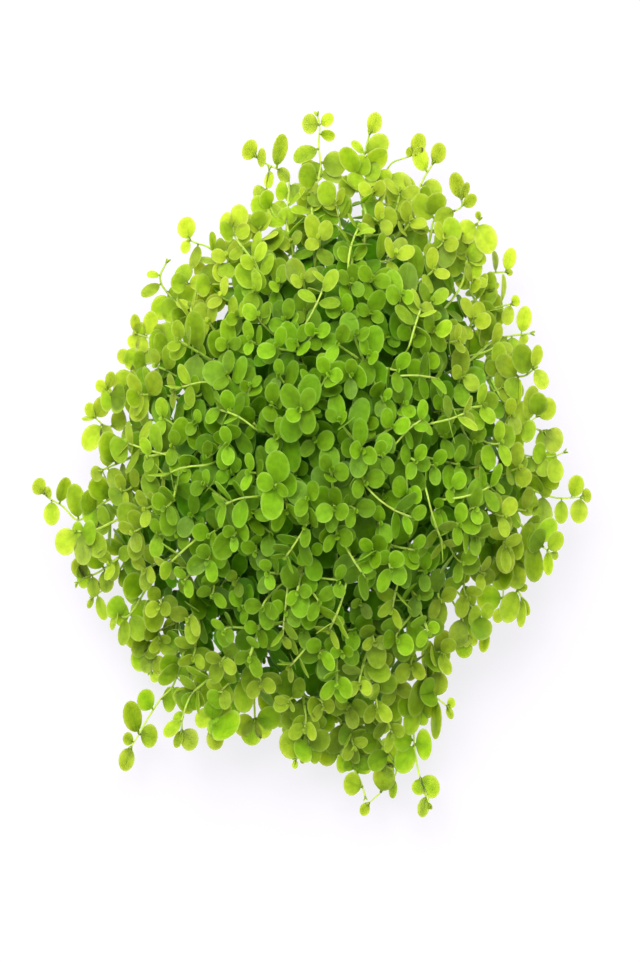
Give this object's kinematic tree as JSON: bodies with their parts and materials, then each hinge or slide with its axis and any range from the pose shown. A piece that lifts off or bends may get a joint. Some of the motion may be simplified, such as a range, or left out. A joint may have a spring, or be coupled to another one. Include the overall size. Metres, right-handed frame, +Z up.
{
  "type": "leafy plant clump",
  "caption": "Bushy clump of micranthemum, a low water plant with small round leaves in opposite pairs, cut off flat under its root mat so that it stands by itself.",
  "frame": {"origin": "middle of the flat cut under the root mat", "axes": "+Z up out of the cut, +Y along the clump's longer way, away from the viewer"},
  "size_m": [0.14, 0.1769, 0.0611],
  "materials": {
    "leaf": "soft satin leaf, faint midrib and veins, lets light through",
    "young_leaf": "bright young leaf, satin, lets light through",
    "root": "matt creeping stems and fine pale roots"
  },
  "bodies": {
    "root": {"root_mat": "root", "top_shoot_01": "young_leaf", "top_shoot_02": "young_leaf", "top_shoot_03": "young_leaf", "top_shoot_04": "young_leaf", "middle_shoot_01": "young_leaf", "middle_shoot_02": "young_leaf", "middle_shoot_03": "young_leaf", "middle_shoot_04": "young_leaf", "middle_shoot_05": "young_leaf", "middle_shoot_06": "young_leaf", "middle_shoot_07": "young_leaf", "outer_shoot_01": "young_leaf", "outer_shoot_02": "young_leaf", "outer_shoot_03": "young_leaf", "outer_shoot_04": "young_leaf", "outer_shoot_05": "young_leaf", "outer_shoot_06": "young_leaf", "outer_shoot_07": "young_leaf", "outer_shoot_08": "young_leaf", "outer_shoot_09": "young_leaf", "outer_shoot_10": "young_leaf", "outer_shoot_11": "young_leaf", "rim_shoot_01": "leaf", "rim_shoot_02": "leaf", "rim_shoot_03": "leaf", "rim_shoot_04": "leaf", "rim_shoot_05": "leaf", "rim_shoot_06": "leaf", "rim_shoot_07": "leaf", "rim_shoot_08": "leaf", "rim_shoot_09": "leaf", "rim_shoot_10": "leaf", "rim_shoot_11": "leaf", "rim_shoot_12": "leaf", "rim_shoot_13": "leaf", "rim_shoot_14": "leaf", "rim_shoot_15": "leaf", "rim_shoot_16": "leaf", "rim_shoot_17": "leaf", "rim_shoot_18": "leaf", "rim_shoot_19": "leaf", "rim_shoot_20": "leaf", "rim_shoot_21": "leaf", "rim_shoot_22": "leaf", "rim_shoot_23": "leaf", "rim_shoot_24": "leaf", "rim_shoot_25": "leaf", "rim_shoot_26": "leaf", "rim_shoot_27": "leaf", "rim_shoot_28": "leaf", "rim_shoot_29": "leaf", "rim_shoot_30": "leaf", "rim_shoot_31": "leaf", "rim_shoot_32": "leaf", "rim_shoot_33": "leaf"}
  },
  "joints": []
}
